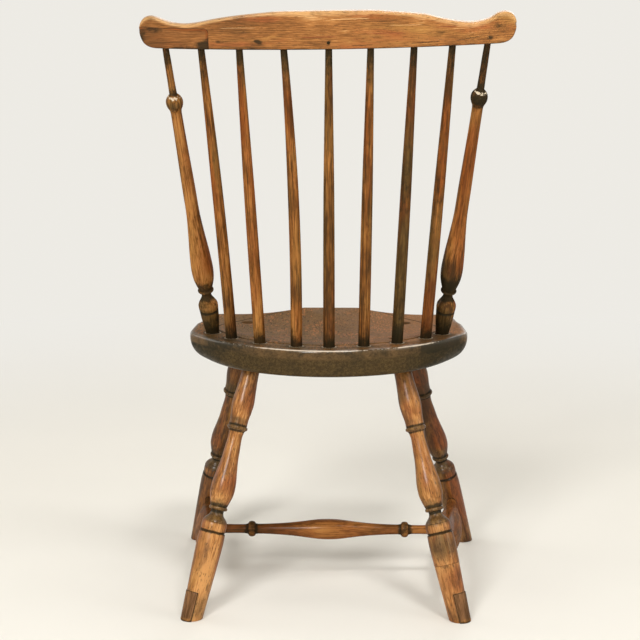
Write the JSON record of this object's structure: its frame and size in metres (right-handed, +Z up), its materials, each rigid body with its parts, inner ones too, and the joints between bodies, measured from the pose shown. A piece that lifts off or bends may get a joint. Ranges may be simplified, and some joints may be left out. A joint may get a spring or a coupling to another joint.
{
  "type": "fan back windsor side chair",
  "caption": "Wooden side chair with a fan of turned spindles and posts under a bent crest rail, a saddled plank seat and splayed turned legs joined by an H stretcher.",
  "frame": {"origin": "on the floor under the middle of the chair's bounding box", "axes": "+Z up; -Y toward the front edge of the seat, the way a sitter faces; +X toward the sitter's left"},
  "size_m": [0.538, 0.5594, 0.9335],
  "materials": {
    "seat": "satin",
    "crest": "satin",
    "repair": "satin",
    "stile": "satin",
    "spindle": "satin",
    "leg": "satin",
    "stretcher": "satin",
    "wedge": "satin"
  },
  "bodies": {
    "root": {"seat": "seat", "crest_rail": "crest", "crest_patch": "repair", "foot_patch_left": "repair", "foot_patch_right": "repair", "stile_left": "stile", "stile_right": "stile", "spindle_1": "spindle", "spindle_2": "spindle", "spindle_3": "spindle", "spindle_4": "spindle", "spindle_5": "spindle", "spindle_6": "spindle", "spindle_7": "spindle", "leg_rear_left": "leg", "leg_rear_right": "leg", "leg_front_left": "leg", "leg_front_right": "leg", "foot_tip_right": "leg", "stretcher_left": "stretcher", "stretcher_right": "stretcher", "stretcher_centre": "stretcher", "leg_wedges": "wedge", "stile_wedges": "wedge", "crest_pegs": "wedge"}
  },
  "joints": []
}
